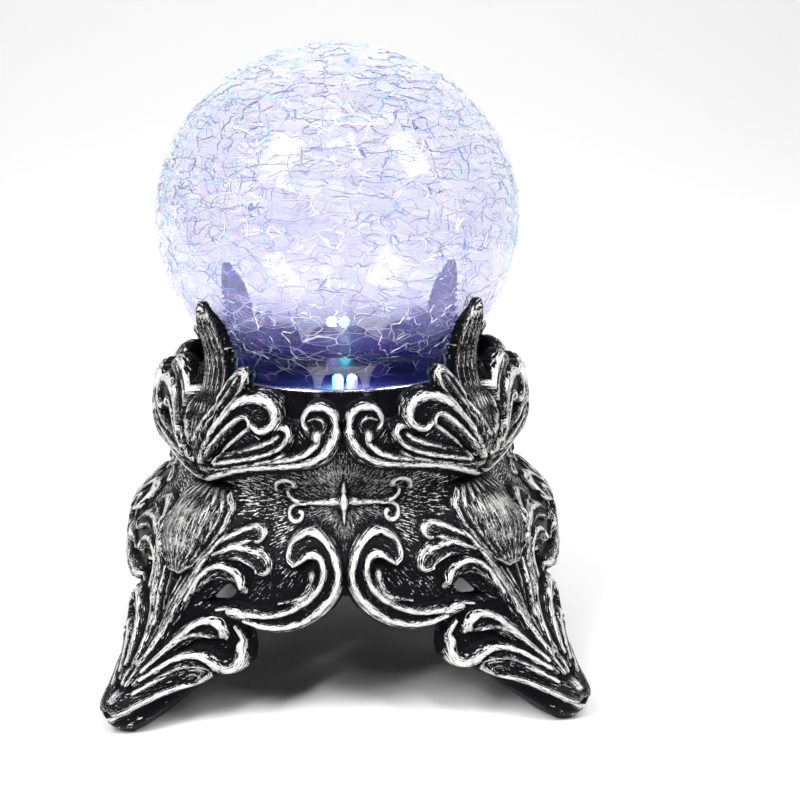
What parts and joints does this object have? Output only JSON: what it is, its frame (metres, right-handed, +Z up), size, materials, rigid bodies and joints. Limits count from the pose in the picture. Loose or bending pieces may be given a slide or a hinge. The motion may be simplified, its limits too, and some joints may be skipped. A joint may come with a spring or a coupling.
{
  "type": "crystal ball",
  "caption": "Light-up crackle-glass fortune-teller globe on an ornate black and silver scrolled stand with claw feet.",
  "frame": {"origin": "on the ground under the middle of the stand", "axes": "+Z up along the axis of the globe, front face of the stand towards -Y, legs and claws on the diagonals"},
  "size_m": [0.1894, 0.1894, 0.2542],
  "materials": {
    "stand_plastic": "black moulded plastic, dry-brushed silver on the raised scrolls",
    "cup_plastic": "glossy black",
    "globe_glass": "clear crackle glass with a pale lavender tint",
    "soft_ring": "soft black",
    "deck_plastic": "glossy black",
    "board": "green solder mask",
    "brass": "plain brass",
    "lamp_cyan": "water-clear, glowing cyan-white",
    "lamp_lavender": "water-clear, glowing lavender-white",
    "tinned": "tinned wire",
    "chip": "moulded black",
    "resistor": "tan body",
    "screw_steel": "zinc plated",
    "box_plastic": "black moulded plastic",
    "cell_jacket": "plain dark jacket with a bright end",
    "spring_steel": "nickel plated",
    "wire_red": "red insulation",
    "wire_black": "black insulation",
    "knob_plastic": "grained black"
  },
  "bodies": {
    "root": {"base_stand": "stand_plastic", "crown": "stand_plastic", "stack_screws": "screw_steel", "globe_cup": "cup_plastic", "globe_gasket": "soft_ring", "globe": "globe_glass", "light_deck": "deck_plastic", "led_board": "board", "led_lamp_cyan": "lamp_cyan", "led_lamp_lavender": "lamp_lavender", "led_leads": "tinned", "board_chip": "chip", "board_resistors": "resistor", "board_screws": "screw_steel", "battery_box": "box_plastic", "latch_bush": "brass", "box_screws": "screw_steel", "battery_1": "cell_jacket", "battery_2": "cell_jacket", "battery_3": "cell_jacket", "battery_springs": "spring_steel", "contact_plates": "spring_steel", "hinge_pin": "screw_steel", "switch_body": "box_plastic", "wire_red": "wire_red", "wire_black": "wire_black", "wire_link": "wire_red"},
    "battery_door": {"battery_door": "box_plastic"},
    "door_screw": {"door_screw": "screw_steel"},
    "switch_knob": {"switch_knob": "knob_plastic"}
  },
  "joints": [
    {"name": "door_hinge", "type": "hinge", "parent": "root", "child": "battery_door", "pos_m": [0, 0.0288, 0.0626], "axis": [1, 0, 0], "range_deg": [0, 60]},
    {"name": "door_screw_turn", "type": "hinge", "parent": "battery_door", "child": "door_screw", "pos_m": [0, -0.03, 0.0599], "axis": [0, 0, 1], "continuous": true},
    {"name": "switch_slide", "type": "slide", "parent": "root", "child": "switch_knob", "axis": [0, 1, 0], "range_m": [0, 0.0025]}
  ]
}
